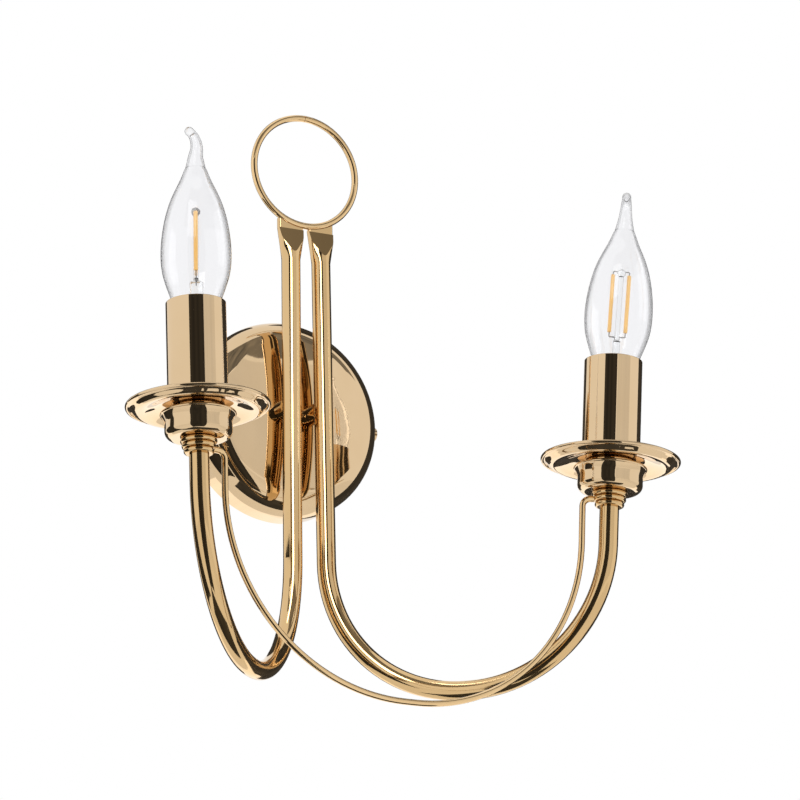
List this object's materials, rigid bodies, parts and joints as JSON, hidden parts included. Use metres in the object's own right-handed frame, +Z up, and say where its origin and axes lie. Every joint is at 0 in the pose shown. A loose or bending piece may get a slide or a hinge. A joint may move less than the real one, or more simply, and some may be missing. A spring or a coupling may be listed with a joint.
{
  "type": "wall sconce",
  "caption": "Wall sconce with bent tube arms on a round domed plate, a ring at the top, drip pans, candle sleeves, flame bulbs and a swag of wire.",
  "frame": {"origin": "centre of the wall plate's back face, in the wall's plane, midway between the two wall screw slots", "axes": "+Y into the wall, square to it; +Z up; +X to the right along the wall, seen from the room"},
  "size_m": [0.3068, 0.1814, 0.3426],
  "materials": {
    "polished_brass": "polished and lacquered",
    "plain_brass": "plain, unpolished",
    "zinc_steel": "zinc plated",
    "holder_plastic": "moulded, matt",
    "block_plastic": "moulded",
    "cable_sheath": "smooth sheath",
    "bulb_nickel": "nickel plated",
    "bulb_solder": "solder",
    "bulb_vitrite": "black glass insulator",
    "clear_glass": "clear, thin",
    "stem_glass": "clear, solid",
    "filament_phosphor": "yellow phosphor coating",
    "lead_wire": "nickel wire"
  },
  "bodies": {
    "fixture": {"arm_left": "polished_brass", "arm_right": "polished_brass", "block_inserts": "plain_brass", "block_screws": "zinc_steel", "bracket": "zinc_steel", "cable_left": "cable_sheath", "cable_right": "cable_sheath", "canopy": "polished_brass", "collar_left": "polished_brass", "collar_right": "polished_brass", "cup_left": "polished_brass", "cup_right": "polished_brass", "earth_screw": "plain_brass", "earth_washer": "zinc_steel", "holder_terminals_left": "plain_brass", "holder_terminals_right": "plain_brass", "lampholder_left": "holder_plastic", "lampholder_right": "holder_plastic", "lock_nut_left": "zinc_steel", "lock_nut_right": "zinc_steel", "nipple_left": "zinc_steel", "nipple_right": "zinc_steel", "pan_left": "polished_brass", "pan_right": "polished_brass", "pole_screws": "zinc_steel", "ring": "polished_brass", "side_screws": "polished_brass", "sleeve_left": "polished_brass", "sleeve_right": "polished_brass", "socket_contact_left": "plain_brass", "socket_contact_right": "plain_brass", "socket_shell_left": "plain_brass", "socket_shell_right": "plain_brass", "stub_left": "polished_brass", "stub_nuts": "zinc_steel", "stub_right": "polished_brass", "swag_wire": "polished_brass", "terminal_block": "block_plastic"},
    "bulb_left_lift": {"bulb_pad_left": "bulb_solder"},
    "bulb_left_turn": {"bulb_cap_left": "bulb_nickel", "bulb_insulator_left": "bulb_vitrite", "bulb_glass_left": "clear_glass", "bulb_stem_left": "stem_glass", "bulb_filaments_left": "filament_phosphor", "bulb_supports_left": "lead_wire"},
    "bulb_right_lift": {"bulb_pad_right": "bulb_solder"},
    "bulb_right_turn": {"bulb_cap_right": "bulb_nickel", "bulb_insulator_right": "bulb_vitrite", "bulb_glass_right": "clear_glass", "bulb_stem_right": "stem_glass", "bulb_filaments_right": "filament_phosphor", "bulb_supports_right": "lead_wire"}
  },
  "joints": [
    {"name": "bulb_left_lift_slide", "type": "slide", "parent": "fixture", "child": "bulb_left_lift", "axis": [0.0062, 0.0136, 0.9999], "range_m": [0, 0.00959]},
    {"name": "bulb_left_turn_hinge", "type": "hinge", "parent": "bulb_left_lift", "child": "bulb_left_turn", "pos_m": [-0.1167, -0.14284, -0.01882], "axis": [0.0062, 0.0136, 0.9999], "range_deg": [0, 1224]},
    {"name": "bulb_right_lift_slide", "type": "slide", "parent": "fixture", "child": "bulb_right_lift", "axis": [0.0825, -0.053, 0.9952], "range_m": [0, 0.00959]},
    {"name": "bulb_right_turn_hinge", "type": "hinge", "parent": "bulb_right_lift", "child": "bulb_right_turn", "pos_m": [0.11926, -0.14561, -0.01887], "axis": [0.0825, -0.053, 0.9952], "range_deg": [0, 1224]}
  ],
  "couplings": [
    {"joint": "bulb_left_lift_slide", "follows": "bulb_left_turn_hinge", "m_per_rad": 0.00044882},
    {"joint": "bulb_right_lift_slide", "follows": "bulb_right_turn_hinge", "m_per_rad": 0.00044882}
  ]
}
